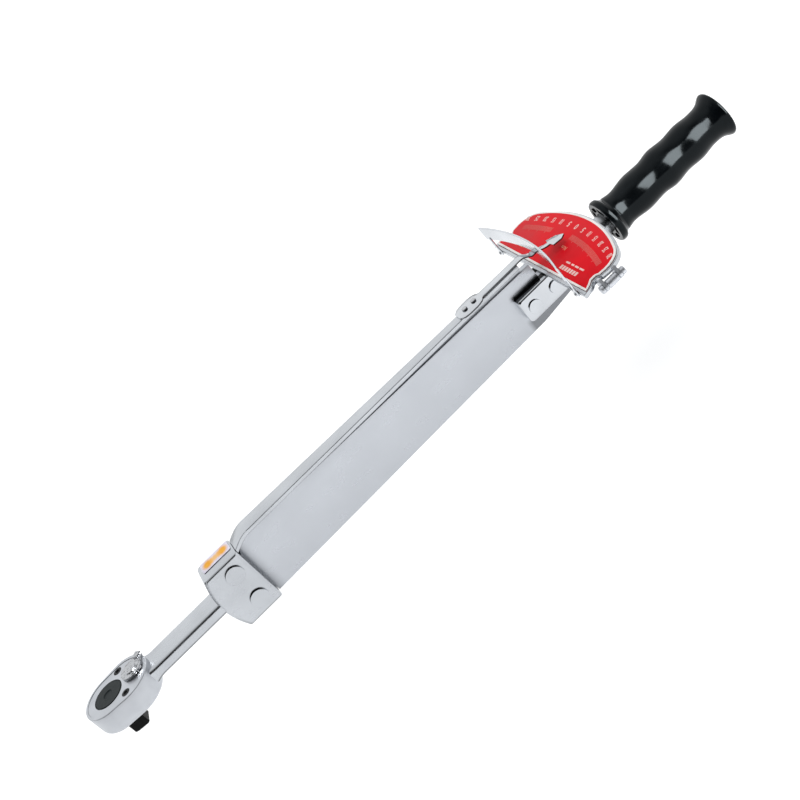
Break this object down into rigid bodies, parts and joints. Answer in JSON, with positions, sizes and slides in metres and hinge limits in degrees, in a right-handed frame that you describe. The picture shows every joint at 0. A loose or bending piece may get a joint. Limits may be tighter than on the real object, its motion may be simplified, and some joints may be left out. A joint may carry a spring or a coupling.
{
  "type": "torque wrench",
  "caption": "Bending-leaf torque wrench with a reversible ratchet head, square drive, fixed pointer, curved scale plate under a guard strip and a ribbed black grip.",
  "frame": {"origin": "on the drive axis, in the flat end face of the drive square", "axes": "+X from the ratchet head along the leaf to the grip; +Z along the drive axis, away from the square; the broad front of the leaf faces -Y"},
  "size_m": [0.6027, 0.149, 0.0612],
  "materials": {
    "nickel_plate": "satin nickel plating",
    "polished_chrome": "polished",
    "spring_steel": "satin",
    "black_oxide": "black oxide, satin",
    "red_enamel": "satin",
    "label_film": "matte film",
    "black_plastic": "gloss",
    "bright_steel": "bright"
  },
  "bodies": {
    "head_side": {"ratchet_head": "nickel_plate", "head_cover": "nickel_plate", "cover_screw_1": "black_oxide", "cover_screw_2": "black_oxide", "leaf_spring": "spring_steel", "pointer_bar": "nickel_plate", "clamp_rivet_1": "nickel_plate", "clamp_rivet_2": "nickel_plate", "clamp_label": "label_film", "needle": "polished_chrome", "needle_screw_1": "black_oxide", "needle_screw_2": "black_oxide"},
    "drive": {"drive_spindle": "black_oxide", "detent_spring": "bright_steel"},
    "detent": {"detent_ball": "bright_steel"},
    "pawl_body": {"pawl": "bright_steel"},
    "lever": {"reversing_lever": "nickel_plate", "lever_plunger": "bright_steel", "lever_spring": "bright_steel", "lever_clip": "black_oxide"},
    "handle_side": {"end_clamp": "polished_chrome", "end_clamp_rivet_1": "polished_chrome", "end_clamp_rivet_2": "polished_chrome", "handle_rod": "nickel_plate", "rod_pin": "bright_steel", "scale_plate": "red_enamel", "scale_frame": "nickel_plate", "scale_saddle": "nickel_plate", "saddle_screw_1": "bright_steel", "saddle_screw_2": "bright_steel", "frame_bolt_1": "bright_steel", "frame_bolt_2": "bright_steel", "pointer_guard": "polished_chrome", "guard_rivet_1": "bright_steel", "guard_rivet_2": "bright_steel", "handle_grip": "black_plastic", "grip_washer": "bright_steel", "grip_nut": "bright_steel", "grip_end_plug": "black_plastic"}
  },
  "joints": [
    {"name": "beam_flex", "type": "hinge", "parent": "head_side", "child": "handle_side", "pos_m": [0.245, 0, 0.0257], "axis": [0, 0, 1], "range_deg": [-17, 17], "stiffness_Nm_per_rad": 940, "deforming": ["leaf_spring"]},
    {"name": "drive_turn", "type": "hinge", "parent": "head_side", "child": "drive", "pos_m": [0, 0, 0.0257], "axis": [0, 0, 1], "continuous": true},
    {"name": "lever_turn", "type": "hinge", "parent": "head_side", "child": "lever", "pos_m": [0.023, 0, 0.0353], "axis": [0, 0, 1], "range_deg": [-82, 0]},
    {"name": "pawl_shift", "type": "hinge", "parent": "head_side", "child": "pawl_body", "pos_m": [0, 0, 0.0257], "axis": [0, 0, 1], "range_deg": [-9.2, 0]},
    {"name": "ball_press", "type": "slide", "parent": "drive", "child": "detent", "axis": [-0.1736, -0.9848, 0], "range_m": [0, 0.001], "stiffness_N_per_m": 800, "springref_m": -0.0015, "deforming": ["detent_spring"]}
  ],
  "couplings": [
    {"joint": "pawl_shift", "follows": "lever_turn", "ratio": 0.1097}
  ]
}
